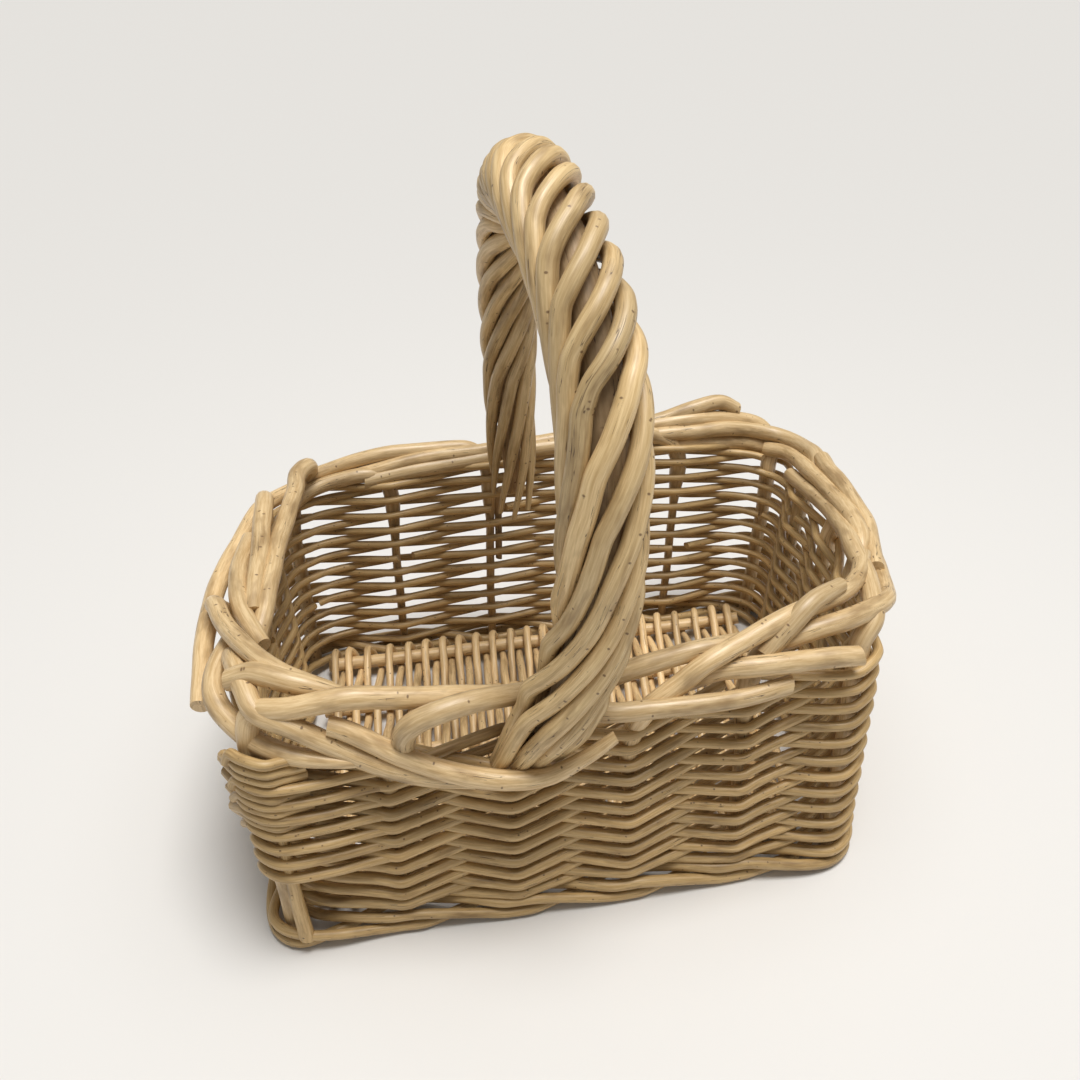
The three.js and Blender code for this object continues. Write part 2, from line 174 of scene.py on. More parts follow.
def lay_rod(name, route, radii, chance, bend=0.0016, waver=0.00015, uneven=0.03, sides=10,
            slant=(0.35, 0.35), step=0.0015):
    """One willow rod along a route: a curve with its own taper, made a mesh with cut ends.

    Bend is the reach over which sharp turns are rounded, waver how far the rod strays from its route,
    uneven the share by which its thickness varies, and slant how steeply each end is cut.
    """
    calm_end = 0.01
    route, length = even_steps(np.asarray(route), step)
    route = soften(route, bend, step)
    route, length = even_steps(route, step)
    run = np.linspace(0, length, len(route))
    share = run / length
    radius = np.interp(share, np.linspace(0, 1, len(radii)), radii)
    radius = radius * (1 + uneven * slow_noise(run, (0.019, 0.037, 0.071), chance))
    ahead = np.gradient(route, axis=0)
    ahead /= np.linalg.norm(ahead, axis=1)[:, None]
    aside = np.cross(ahead, (0.31, 0.23, 0.92))
    aside /= np.linalg.norm(aside, axis=1)[:, None]
    above = np.cross(ahead, aside)
    calm = np.minimum(1, np.minimum(run, length - run) / calm_end)[:, None]
    route = route + calm * waver * (slow_noise(run, (0.029, 0.047, 0.083), chance)[:, None] * aside
                                    + slow_noise(run, (0.031, 0.053, 0.079), chance)[:, None] * above)
    curve = bpy.data.curves.new(name, "CURVE")
    curve.dimensions = "3D"
    curve.bevel_depth = 1.0
    curve.bevel_resolution = sides // 2 - 2
    curve.use_fill_caps = True
    spline = curve.splines.new("POLY")
    spline.points.add(len(route) - 1)
    spline.points.foreach_set("co", np.column_stack((route, np.ones(len(route)))).ravel())
    spline.points.foreach_set("radius", radius)
    maker = bpy.data.objects.new(name, curve)
    mesh = bpy.data.meshes.new_from_object(maker)
    bpy.data.objects.remove(maker)
    bpy.data.curves.remove(curve)

    shell = bmesh.new()
    shell.from_mesh(mesh)
    bmesh.ops.remove_doubles(shell, verts=shell.verts, dist=1e-6)
    mapping = shell.loops.layers.uv.active
    pattern_start = chance.random() * 40
    for face in shell.faces:
        side_face = len(face.verts) == 4
        face.smooth = side_face
        for corner in face.loops:
            along, around = corner[mapping].uv
            corner[mapping].uv = (around, pattern_start + along * length)
        if not side_face:
            for edge in face.edges:
                edge.smooth = False
    for end, facing in ((0, -1), (-1, 1)):
        tip, toward = Vector(route[end]), Vector(ahead[end]) * facing
        cut = Vector(aside[end] * math.cos(pattern_start) + above[end] * math.sin(pattern_start))
        rim = [vertex for vertex in shell.verts if abs((vertex.co - tip).dot(toward)) < step * 0.2
               and (vertex.co - tip).length < radius[end] * 1.3]
        for vertex in rim:
            vertex.co += toward * slant[end] * ((vertex.co - tip).dot(cut) + radius[end])
    shell.to_mesh(mesh)
    shell.free()
    mesh.uv_layers[0].name = "along_rod"
    rod = bpy.data.objects.new(name, mesh)
    bpy.context.scene.collection.objects.link(rod)
    return rod


def finish_rod(rod, node, material):
    """Gives a rod its willow and its place in the object, as the look of a node or as a piece of its own."""
    rod.data.materials.append(material)
    if node:
        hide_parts(node)
    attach(rod, "root")


def put(tree, kind, at, **settings):
    """A shader node with its settings."""
    node = tree.nodes.new(kind)
    node.location = at
    for key, value in settings.items():
        setattr(node, key, value)
    return node


def sum_node(tree, operation, first, second, at):
    """A sum of two values, each a number or another node's output."""
    node = put(tree, "ShaderNodeMath", at, operation=operation)
    for socket, value in zip(node.inputs, (first, second)):
        if isinstance(value, bpy.types.NodeSocket):
            tree.links.new(value, socket)
        elif value is not None:
            socket.default_value = value
    return node.outputs[0]


def make_fibre_group():
    """What peeled willow shows along a rod: fibres, blotches, bud specks and drying splits."""
    tree = bpy.data.node_groups.new("willow_fibre", "ShaderNodeTree")
    face = tree.interface
    face.new_socket("Along Rod", in_out="INPUT", socket_type="NodeSocketVector")
    for label, value in (("Fibre Length", 0.012), ("Speck Share", 0.2), ("Split Share", 0.4)):
        face.new_socket(label, in_out="INPUT", socket_type="NodeSocketFloat").default_value = value
    for label in ("Fibre", "Blotch", "Rod Tone", "Specks", "Splits", "Height"):
        face.new_socket(label, in_out="OUTPUT", socket_type="NodeSocketFloat")
    given = put(tree, "NodeGroupInput", (-1400, 0))
    shown = put(tree, "NodeGroupOutput", (1200, 0))
    link = tree.links.new
    parts = put(tree, "ShaderNodeSeparateXYZ", (-1200, 0))
    link(given.outputs["Along Rod"], parts.inputs[0])
    turn = sum_node(tree, "MULTIPLY", parts.outputs["X"], 2 * math.pi, (-1000, 200))
    cosine = sum_node(tree, "COSINE", turn, None, (-800, 300))
    sine = sum_node(tree, "SINE", turn, None, (-800, 150))

    def round_rod(stretch, width, at):
        """A spot on the rod's surface that closes on itself round the rod."""
        along = sum_node(tree, "MULTIPLY", parts.outputs["Y"], stretch, (at[0] - 200, at[1]))
        spot = put(tree, "ShaderNodeCombineXYZ", at)
        for socket, value in zip(spot.inputs, (cosine, sine)):
            link(sum_node(tree, "MULTIPLY", value, width, (at[0] - 200, at[1] - 150)), socket)
        link(along, spot.inputs[2])
        return spot.outputs[0]

    def noise(vector, scale, detail, at):
        node = put(tree, "ShaderNodeTexNoise", at)
        node.inputs["Scale"].default_value = scale
        node.inputs["Detail"].default_value = detail
        node.inputs["Roughness"].default_value = 0.55
        link(vector, node.inputs["Vector"])
        return node.outputs["Fac"]

    stretch = sum_node(tree, "DIVIDE", 0.25, given.outputs["Fibre Length"], (-1000, -200))
    long_fibre = noise(round_rod(stretch, 1.0, (-500, 500)), 4.0, 5.0, (-200, 500))
    fine_fibre = noise(round_rod(stretch, 1.0, (-500, 250)), 13.0, 2.0, (-200, 250))
    blotch = noise(round_rod(42.0, 0.55, (-500, 0)), 1.3, 3.0, (-200, 0))
    tone = noise(round_rod(0.9, 0.0, (-500, -250)), 1.6, 1.0, (-200, -250))
    fibre = sum_node(tree, "ADD", sum_node(tree, "MULTIPLY", long_fibre, 0.7, (50, 500)),
                     sum_node(tree, "MULTIPLY", fine_fibre, 0.3, (50, 300)), (250, 450))

    cells = put(tree, "ShaderNodeTexVoronoi", (-200, -500))
    cells.inputs["Scale"].default_value = 1.0
    link(round_rod(420.0, 1.0, (-500, -500)), cells.inputs["Vector"])
    near_bud = put(tree, "ShaderNodeMapRange", (50, -450), interpolation_type="SMOOTHSTEP")
    near_bud.inputs["From Min"].default_value = 0.10
    near_bud.inputs["From Max"].default_value = 0.24
    near_bud.inputs["To Min"].default_value = 1.0
    near_bud.inputs["To Max"].default_value = 0.0
    link(cells.outputs["Distance"], near_bud.inputs["Value"])
    lot = put(tree, "ShaderNodeSeparateColor", (50, -650))
    link(cells.outputs["Color"], lot.inputs[0])
    kept = sum_node(tree, "LESS_THAN", lot.outputs[0], given.outputs["Speck Share"], (250, -650))
    specks = sum_node(tree, "MULTIPLY", near_bud.outputs[0], kept, (450, -500))

    seam = noise(round_rod(10.0, 1.0, (-500, -900)), 2.2, 2.0, (-200, -900))
    off_line = sum_node(tree, "SUBTRACT", seam, 0.5, (50, -900))
    off_line = sum_node(tree, "ABSOLUTE", off_line, None, (250, -900))
    thin = put(tree, "ShaderNodeMapRange", (450, -900), interpolation_type="SMOOTHSTEP")
    thin.inputs["From Min"].default_value = 0.002
    thin.inputs["From Max"].default_value = 0.011
    thin.inputs["To Min"].default_value = 1.0
    thin.inputs["To Max"].default_value = 0.0
    link(off_line, thin.inputs["Value"])
    where = noise(round_rod(28.0, 0.5, (-500, -1150)), 1.5, 1.0, (-200, -1150))
    limit = sum_node(tree, "MULTIPLY", given.outputs["Split Share"], 0.4, (50, -1250))
    limit = sum_node(tree, "SUBTRACT", 0.75, limit, (250, -1250))
    some = sum_node(tree, "GREATER_THAN", where, limit, (450, -1150))
    splits = sum_node(tree, "MULTIPLY", thin.outputs[0], some, (650, -950))

    relief = sum_node(tree, "ADD", sum_node(tree, "MULTIPLY", fibre, 0.45, (650, 300)),
                      sum_node(tree, "MULTIPLY", blotch, 0.35, (650, 100)), (800, 250))
    split_depth = sum_node(tree, "MULTIPLY", splits, 0.9, (800, -300))
    relief = sum_node(tree, "SUBTRACT", relief, split_depth, (950, 150))
    bud_height = sum_node(tree, "MULTIPLY", specks, 0.25, (800, -500))
    relief = sum_node(tree, "ADD", relief, bud_height, (1050, 100))
    for label, value in (("Fibre", fibre), ("Blotch", blotch), ("Rod Tone", tone), ("Specks", specks),
                         ("Splits", splits), ("Height", relief)):
        link(value, shown.inputs[label])
    return tree


willow_fibre = make_fibre_group()


def put_grey(tree, value):
    """A grey as bright as a value."""
    grey = put(tree, "ShaderNodeCombineColor", (-600, -100))
    for socket in grey.inputs:
        tree.links.new(value, socket)
    return grey.outputs[0]


def willow(name, pale, tan, deep, rough=0.46, specks=0.2, splits=0.4, fibre_length=0.012, gloss=0.12):
    """Peeled willow in one shade: pale fibres on tan, blotched, with deep brown specks and splits."""
    material = bpy.data.materials.new(name)
    material.use_nodes = True
    tree = material.node_tree
    tree.nodes.clear()
    link = tree.links.new
    mapping = put(tree, "ShaderNodeUVMap", (-1200, 0), uv_map="along_rod")
    wood = put(tree, "ShaderNodeGroup", (-1000, 0), node_tree=willow_fibre)
    link(mapping.outputs[0], wood.inputs["Along Rod"])
    wood.inputs["Fibre Length"].default_value = fibre_length
    wood.inputs["Speck Share"].default_value = specks
    wood.inputs["Split Share"].default_value = splits

    def mix(mode, factor, first, second, at):
        node = put(tree, "ShaderNodeMix", at, data_type="RGBA", blend_type=mode)
        sockets = (node.inputs[0], node.inputs[6], node.inputs[7])
        for socket, value in zip(sockets, (factor, first, second)):
            if isinstance(value, bpy.types.NodeSocket):
                link(value, socket)
            else:
                socket.default_value = value
        return node.outputs[2]

    def spread(value, low, high, at, first=0.0, last=1.0):
        node = put(tree, "ShaderNodeMapRange", at)
        for socket, number in zip(list(node.inputs)[1:5], (low, high, first, last)):
            socket.default_value = number
        link(value, node.inputs["Value"])
        return node.outputs[0]

    browned = tuple(0.45 * part + 0.55 * other for part, other in zip(deep, tan))
    cracked = tuple(part * 0.55 for part in deep)
    fibres = spread(wood.outputs["Fibre"], 0.36, 0.62, (-800, 300))
    body = mix("MIX", fibres, (*tan, 1), (*pale, 1), (-600, 300))
    blotches = spread(wood.outputs["Blotch"], 0.51, 0.72, (-800, 100), 0.0, 0.9)
    body = mix("MIX", blotches, body, (*browned, 1), (-400, 250))
    rod_tone = spread(wood.outputs["Rod Tone"], 0.3, 0.7, (-800, -100), 0.72, 1.2)
    body = mix("MULTIPLY", 1.0, body, put_grey(tree, rod_tone), (-200, 200))
    buds = sum_node(tree, "MULTIPLY", wood.outputs["Specks"], 0.8, (-400, -100))
    body = mix("MIX", buds, body, (*deep, 1), (0, 200))
    cracks = sum_node(tree, "MULTIPLY", wood.outputs["Splits"], 0.85, (-400, -250))
    body = mix("MIX", cracks, body, (*cracked, 1), (200, 200))
    shader = put(tree, "ShaderNodeBsdfPrincipled", (600, 0))
    shader.inputs["Coat Weight"].default_value = gloss
    shader.inputs["Coat Roughness"].default_value = 0.3
    link(body, shader.inputs["Base Color"])
    sheen = spread(wood.outputs["Fibre"], 0.3, 0.7, (-200, -200), rough + 0.09, rough - 0.05)
    link(sheen, shader.inputs["Roughness"])
    lift = put(tree, "ShaderNodeBump", (400, -300))
    lift.inputs["Strength"].default_value = 0.45
    lift.inputs["Distance"].default_value = 0.0003
    link(wood.outputs["Height"], lift.inputs["Height"])
    link(lift.outputs[0], shader.inputs["Normal"])
    link(shader.outputs[0], put(tree, "ShaderNodeOutputMaterial", (900, 0)).inputs["Surface"])
    return material


# The base's willow is paler and brighter than the stakes' willow. This is painted light, standing in for the
# base's upward face lit from above through the open top.
lit_base_willow = willow("lit_base_willow", pale=(0.84, 0.62, 0.34), tan=(0.60, 0.40, 0.18),
                     deep=(0.11, 0.055, 0.022), splits=0.3)
base_stick_radius = 0.0033
base_weaver_radius = 0.002
ground_gap = 0.0007
base_offset = 0.0057
stroke_half_height = 0.0019
base_height = ground_gap + base_offset + stroke_half_height
band_inside = 0.00725
band_gap = 0.0003
edge_inset = band_inside + band_gap + stroke_half_height + base_offset
outer_stick = 2
stick_overhang = 0.034
stroke_count = 48
stroke_reach = 0.8878
stroke_step = 2 * stroke_reach / (stroke_count - 1)


def base_point(along, stick, upward=0.0):
    """A point of the base: along from -1 at the left to 1 at the right, sticks from front to back."""
    front = wall_points(front_gaps * (1 + along) / 2, base_height, -edge_inset)[0]
    back = wall_points(half_round + front_gaps * (1 - along) / 2, base_height, -edge_inset)[0]
    part = (stick / outer_stick + 1) / 2
    return front * (1 - part) + back * part + np.array((0, 0, upward))


chance = np.random.default_rng(11)
for stick in range(-outer_stick, outer_stick + 1):
    stick_reach = stroke_reach + stick_overhang
    route = [base_point(along, stick) for along in np.linspace(-stick_reach, stick_reach, 15)]
    thick = base_stick_radius * (0.95 + 0.1 * chance.random())
    rod = lay_rod(f"base_stick_{stick + 3}_rod", route, (thick, thick * 0.93), chance, waver=0.0003,
                  sides=12)
    finish_rod(rod, f"base_stick_{stick + 3}", lit_base_willow)

route = []
for stroke in range(stroke_count):
    heading = 1 if stroke % 2 == 0 else -1
    along = stroke * stroke_step - stroke_reach
    skew = stroke_step * 0.22 * (chance.random() - 0.5)
    for step in range(-outer_stick, outer_stick + 1):
        above = 1 if (step * heading + stroke) % 2 == 0 else -1
        route.append(base_point(along + skew * step / outer_stick, step * heading, above * base_offset))
    if stroke < stroke_count - 1:
        above = 1 if (outer_stick * heading + stroke) % 2 == 0 else -1
        for part in (0.25, 0.5, 0.75):
            point = base_point(along + stroke_step * part, outer_stick * heading,
                               above * base_offset * math.cos(math.pi * part))
            point[1] += heading * base_offset * math.sin(math.pi * part)
            route.append(point)
route = bend_through(route, len(route) * 5)
swell = 1 + 0.16 * (chance.random(160) - 0.5)
rod = lay_rod("base_weaver_rod", route, base_weaver_radius * swell, chance, bend=0.0008, waver=0.0003,
              step=0.0016)
finish_rod(rod, "base_weaver", lit_base_willow)

# Corner posts, stakes and border: four thick willow posts and fourteen thinner stakes stand on the ground.
# Each is bent over at the rim and runs on to the right as one rod of the loose border, over and under its
# neighbours, and its end is cut with a knife.
stake_willow = willow("stake_willow", pale=(0.76, 0.57, 0.32), tan=(0.54, 0.36, 0.165),
                      deep=(0.12, 0.06, 0.024), rough=0.43, specks=0.12, splits=0.4, gloss=0.2)
stake_radius = 0.0022
post_radius = 0.0035
border_radius = 0.0041
upright_foot = 0.0004
bent_below_rim = 0.012
thickens_from = 0.015
thickens_to = 0.004


def is_corner(stake):
    """Whether a stake is one of the four thick posts."""
    return stake % half_round in (0, front_gaps)


stake_names = []
for side, corner, between in (("front", "front_left", stakes_per_front),
                              ("right", "front_right", stakes_per_end),
                              ("back", "back_right", stakes_per_front),
                              ("left", "back_left", stakes_per_end)):
    stake_names.append(f"corner_post_{corner}")
    stake_names += [f"{side}_stake_{number}" for number in range(1, between + 1)]

# How each rod was laid at the rim: a stop is a place along the wall in stakes, the millimetres outward
# from the stakes' line, and the height in millimetres.
laid_by_hand = {
    "corner_post_front_left": ((0.02, 0, 104), (0.09, -2, 112), (0.41, 1, 116), (0.81, 3, 118.5),
                               (1.28, 1.5, 114.2), (1.73, -3, 108.4), (2.17, -8, 101), (2.55, -9, 98)),
    "front_stake_1": ((1.08, 1, 84), (1.17, 5, 93), (1.19, 8, 102), (1.24, 10, 108), (1.33, 10.5, 112),
                      (1.51, 10, 114.4), (1.84, 5, 112.8), (2.3, -8, 102.5), (2.83, -7, 104.5),
                      (3.18, -3, 111.5), (3.58, -1.5, 115.5), (3.94, -3, 114)),
    "front_stake_2": ((2.02, -1, 84), (2.15, -5, 95), (2.35, -6, 99.5), (2.73, 4.5, 99.5),
                      (3.11, 8, 100.5), (3.51, 10, 101), (3.93, 10, 100.5), (4.26, 8, 101)),
    "front_stake_3": ((3.03, 1, 86), (3.16, 4, 98.5), (3.39, 3.5, 105.5), (3.56, 5, 113.5),
                      (3.94, 0.5, 118), (4.33, -5, 122), (4.96, -12, 121), (5.59, -3, 119),
                      (5.98, 3, 118)),
    "front_stake_4": ((4.02, -1, 96), (4.16, -4, 108), (4.43, -2.5, 115), (4.86, -3, 117), (5.36, 5, 115),
                      (5.66, 9.5, 112), (6.31, 11, 110), (6.91, 11, 112)),
    "corner_post_back_left": ((13.95, 0, 104), (13.8, 1.5, 113), (13.69, 0.5, 119), (13.72, -4, 122.8),
                              (14.1, -12.5, 123.5), (14.6, -15, 123), (15, -14, 122), (15.6, -13.5, 120.5),
                              (16.15, -13.5, 119), (16.64, -11.5, 116), (16.91, -8.5, 112)),
    "left_stake_1": ((14.92, 0, 104), (14.74, -1, 119), (14.72, -2, 123), (15.0, -4, 125),
                     (15.42, -6.5, 124), (16.09, -8, 121), (16.65, -7, 117)),
    "left_stake_2": ((16.05, 2, 96), (16.3, 7, 109), (16.47, 8, 117), (16.62, 6, 120), (17.03, 1, 121),
                     (17.47, -10.5, 122), (18.4, -12, 120), (18.7, -8.5, 113)),
    "left_stake_3": ((17.06, 0, 104), (17.26, -0.5, 115), (17.85, -5.5, 117), (18.16, -0.5, 114),
                     (18.43, 3.5, 110), (18.72, 6, 99.5), (19.03, 9, 91.5), (19.36, 10, 86),
                     (19.7, 11, 83)),
    "corner_post_front_right": ((5.02, 0, 106), (5.2, 2, 114), (5.7, 2, 117), (6.1, 0, 119),
                                (6.51, 0, 117), (7.29, 0, 111), (7.9, -1, 107), (8.3, -2, 104)),
    "right_stake_1": ((6.02, 1, 106), (6.12, 3.5, 114), (6.35, 5, 118), (6.76, 4, 118.5), (7.43, 3, 115.5),
                      (7.97, 2, 113), (8.69, 1.5, 107), (9.1, 0.5, 105)),
    "right_stake_2": ((7.02, 1, 104), (7.1, 4, 112), (7.38, 7, 116.5), (7.94, 6, 112.5), (8.56, 5, 107),
                      (9.04, 3.5, 104), (9.33, 3, 107), (9.7, 2, 110), (10.3, 1, 110)),
    "right_stake_3": ((8, 1, 102), (8.05, 5, 110), (8.2, 7.5, 114.5), (8.39, 7, 114.5), (8.73, 5.5, 111.5),
                      (9.01, 4.5, 111.5), (9.3, 3.5, 114), (9.6, 2, 117), (9.8, 1.5, 117.5),
                      (10.3, 1, 117.5), (10.7, 0, 116)),
    "corner_post_back_right": ((9.02, 0, 98), (9.05, 5, 106), (9.18, 8.5, 114), (9.43, 8, 118.5),
                               (9.66, 7, 121), (9.88, 5.5, 122), (10.25, 5.5, 121), (10.8, 5, 119),
                               (11.5, 3, 118), (11.9, 1, 116)),
    "back_stake_1": ((10, 0, 104), (10.1, 1, 113), (10.32, 0.5, 118), (10.63, 0.5, 118.5), (11.26, 0, 117),
                     (11.67, 0, 115.5), (12.03, 0, 114), (12.49, 0, 113), (12.89, -0.5, 111.5),
                     (13.2, -1, 110)),
    "back_stake_2": ((11, 0, 104), (11.1, 2, 112), (11.25, 3, 117), (11.66, 3, 118), (12.02, 2.5, 117.5),
                     (12.48, 2.5, 117), (12.78, 2, 116.5), (13.08, 2, 114), (13.36, 2, 111.5),
                     (13.6, 1, 109)),
    "back_stake_3": ((12, 1, 106), (12.06, 4, 113), (12.2, 6, 118), (12.57, 6.5, 119), (12.86, 6.5, 120),
                     (13.07, 6.5, 119.5), (13.39, 5, 117), (13.59, 4, 114.5), (13.8, 4, 112)),
    "back_stake_4": ((13, 0, 102), (13.08, 1, 110), (13.25, 0, 113), (13.44, -1, 112), (13.71, -4, 109.5),
                     (14.09, -7, 107), (14.6, -8, 110), (15.2, -7, 112), (15.7, -6, 112)),
}

for stake, name in enumerate(stake_names):
    chance = np.random.default_rng(100 + stake)
    thick = post_radius if is_corner(stake) else stake_radius
    lay = border_radius * (0.94 + 0.12 * chance.random())
    stops = np.array(laid_by_hand[name])
    upright = wall_points(stake, np.linspace(upright_foot, stops[0][2] / 1000 - bent_below_rim, 12))
    laid = wall_points(stops[:, 0], stops[:, 2] / 1000, stops[:, 1] / 1000)
    laid = bend_through(np.vstack((upright[-1:], laid)), 160)[1:]
    route = np.vstack((upright, laid))
    standing = np.linalg.norm(np.diff(upright, axis=0), axis=1).sum()
    whole = standing + np.linalg.norm(np.diff(laid, axis=0), axis=1).sum()
    radii = np.interp(np.linspace(0, whole, 60),
                      (0, standing - thickens_from, standing + thickens_to, whole),
                      (thick, thick, lay, lay * 0.88))
    rod = lay_rod(f"{name}_rod", route, radii, chance, bend=0.0022, waver=0.0003, sides=14,
                  slant=(0, 0.3))
    finish_rod(rod, name, stake_willow)

# Loose border rods: spare lengths of willow were threaded in afterwards where the border was thin, one of
# them round the foot of the handle. Each has the thickness of its end as a share of its own, then stops.
threaded_rods = {
    "foot_rod": (0.62, ((0.68, 4.5, 109), (0.82, 6, 105.5), (1.16, 9, 95.5), (1.52, 11.5, 88),
                        (1.89, 13, 83), (2.27, 13.5, 82), (2.59, 14.5, 90), (2.8, 14, 96))),
    "right_corner_rod": (0.95, ((3.5, 0.5, 104), (3.73, 2.5, 108), (4.03, 6.5, 110), (4.49, 6.5, 110),
                                (4.79, 8, 109))),
    "right_split_rod": (0.8, ((4.12, 2, 112), (4.31, -1.5, 120), (4.5, -6.5, 126), (5.1, -12, 125))),
    "left_split_rod": (0.6, ((17.63, -1.5, 118), (17.75, -10, 121), (18.45, -8, 120), (18.8, -4, 114))),
    "left_corner_rod": (0.45, ((16.92, 1.5, 112), (17.26, 6.5, 110), (17.51, 6.5, 108), (17.74, 2, 104),
                               (18.16, 0.5, 100), (18.45, 5, 98), (18.74, 9, 96), (18.86, 9, 95))),
    "left_outer_rod": (0.9, ((13.83, -2, 112), (14.56, 2, 114), (15.22, 7.5, 112), (15.83, 11, 110),
                             (16.39, 12.5, 108), (16.93, 13.5, 106), (17.47, 12.5, 103))),
    "left_inner_rod": (0.85, ((15.37, 0, 118), (15.98, 0, 119), (16.58, -2.5, 118), (17.12, -10.5, 114))),
    "right_outer_rod": (1.0, ((5.9, 8, 114.5), (6.55, 9.5, 117.5), (6.92, 8.5, 118.5), (7.38, 7.5, 119),
                              (7.8, 7, 118), (8.12, 8.5, 117))),
    "back_split_rod": (0.8, ((9.42, 10.5, 123), (9.58, 10.5, 128), (9.86, 9, 126), (10.18, 8, 122),
                             (10.51, 6, 119.5), (11, 5, 117))),
}
for number, (name, (end_share, stops)) in enumerate(threaded_rods.items()):
    chance = np.random.default_rng(150 + number)
    stops = np.array(stops)
    route = bend_through(wall_points(stops[:, 0], stops[:, 2] / 1000, stops[:, 1] / 1000), 160)
    lay = border_radius * (0.92 + 0.1 * chance.random())
    rod = lay_rod(name, route, (lay * 0.97, lay * 1.02, lay, lay * end_share), chance, bend=0.0018,
                  sides=14, slant=(0.2, 0.2))
    finish_rod(rod, None, stake_willow)

# Bottom band: three willow rods are twisted together round the foot of the stakes. Each passes outside two
# stakes and inside the third, and between them they hold the wall to the base.
# The weave's willow is darker and browner than the stakes' willow. This is painted shade, standing in for
# the wall lit less than the rim and for the brown shade between its rows.
shaded_weaver_willow = willow("shaded_weaver_willow", pale=(0.62, 0.435, 0.205), tan=(0.42, 0.265, 0.10),
                       deep=(0.10, 0.05, 0.018), specks=0.16, splits=0.35)
wale_radius = 0.0023
wale_pitch = 0.0049
wale_lift = 0.6 * wale_pitch
wale_height = ground_gap + wale_lift + wale_radius
wale_phases = np.arange(7)
wale_out = np.array((1, 1, 1, 0, -1, 0, 1))
wale_up = np.array((1, 0, -1, -1, 0, 1, 1))
hold_share = 0.14
side_gap = 0.00045
open_share = 0.15


def passing(stake, radius):
    """How far out a rod's centre lies where it passes a stake."""
    return (post_radius if is_corner(int(stake) % stake_count) else stake_radius) + radius + side_gap


def change_over(places, hold):
    """How far a rod has changed over from one stake to the next: it runs straight past each stake."""
    part = places - np.floor(places + 1e-9)
    return np.clip((part - hold) / (1 - 2 * hold), 0, 1)


for number in range(3):
    chance = np.random.default_rng(200 + number)
    first = number + 2
    places = np.arange(first, first + stake_count - open_share, 0.05)
    change = change_over(places, hold_share)
    near = np.array([passing(math.floor(place + 1e-9), wale_radius) for place in places])
    far = np.array([passing(math.floor(place + 1e-9) + 1, wale_radius) for place in places])
    phase = 2 * (np.mod(np.floor(places + 1e-9) - number, 3) + change)
    out = (near * (1 - change) + far * change) * np.interp(phase, wale_phases, wale_out)
    height = wale_height + wale_lift * np.interp(phase, wale_phases, wale_up)
    route = wall_points(places, height, out)
    rod = lay_rod(f"wale_rod_{number + 1}_rod", route, (0.0024, 0.0023, 0.002), chance, bend=0.002, sides=12)
    finish_rod(rod, f"wale_rod_{number + 1}", shaded_weaver_willow)

# Side weave: twenty-two willow rods go round the stakes in rows, outside one stake and inside the next,
# and are beaten down, so that the rows zigzag, most of all at the front. Two short rods pack the back
# wall, and the last rods wrap round an extra upright at the front left corner, where they are cut.
weaver_radius = 0.002
weaver_rows = 22
kink_share = 0.03
row_gap = 0.0003
row_half_height = 0.00165
first_row_height = wale_height + wale_lift + wale_radius + row_gap + row_half_height
border_pitch = 0.007
border_depth = 3.14 * border_pitch
row_pitch = (rim_height - border_depth - first_row_height) / (weaver_rows - 1)

# At each stake from the front left corner round: the top of the weave, how far its rods drop where they
# pass outside and rise where they pass inside, and their thickness as a share of weaver_radius.
every_stake = np.arange(stake_count + 1)
weave_top = np.array((93, 89, 87, 90, 95, 101, 104, 103, 99, 98,
                      103, 104, 104, 103, 103, 103, 102, 99, 93)) / 1000
zigzag = np.array((8, 36, 33, 34, 29, 8, 18, 20, 12, 6, 8, 8, 8, 8, 6, 14, 16, 16, 8)) / 10000
thickness = np.array((1.06, 1.1, 1.08, 1.06, 1.02, 1, 0.96, 0.94, 0.92, 0.92,
                      0.93, 0.94, 0.94, 0.94, 0.94, 0.94, 0.96, 1, 1.06))


def row_points(places, level, row):
    """One row of the weave at a level from 0 at the bottom band to 1 under the border."""
    corner_near = np.abs(np.mod(places + 1, half_round) - 1) < 0.5
    corner_near |= np.abs(np.mod(places - front_gaps + 1, half_round) - 1) < 0.5
    change = np.where(corner_near, change_over(places, hold_share), change_over(places, kink_share))
    whole = np.floor(places + 1e-9)
    sides = []
    for stake in (whole, whole + 1):
        side = np.where(np.mod(stake + row, 2) == 0, 1.0, -1.0)
        behind_post = (np.mod(stake, stake_count) == 0) & (row % 6 != 3)
        sides.append(np.where(behind_post, -1.0, side))
    near = np.array([passing(stake, weaver_radius) for stake in whole])
    far = np.array([passing(stake + 1, weaver_radius) for stake in whole])
    side = sides[0] * (1 - change) + sides[1] * change
    out = sides[0] * near * (1 - change) + sides[1] * far * change
    around = np.mod(places, stake_count)
    top = np.interp(around, every_stake, weave_top)
    height = first_row_height + level * (top - first_row_height)
    height = height - side * np.interp(around, every_stake, zigzag) * min(1, 8 * level)
    return height, out


row_waver = 0.00055
for row in range(weaver_rows):
    chance = np.random.default_rng(300 + row)
    first = 7 * row + 1
    places = np.arange(first, first + stake_count - open_share, 0.03)
    height, out = row_points(places, row / (weaver_rows - 1), row)
    height = height + row_waver * slow_noise(places - first, (3.1, 5.3, 7.7), chance)
    route = wall_points(places, height, out)
    thick = weaver_radius * (0.92 + 0.16 * chance.random())
    radii = thick * np.interp(np.mod(places, stake_count), every_stake, thickness)
    rod = lay_rod(f"side_weaver_{row + 1}_rod", route, radii, chance, bend=0.0006, uneven=0.05,
                  step=0.0012)
    finish_rod(rod, f"side_weaver_{row + 1}", shaded_weaver_willow)

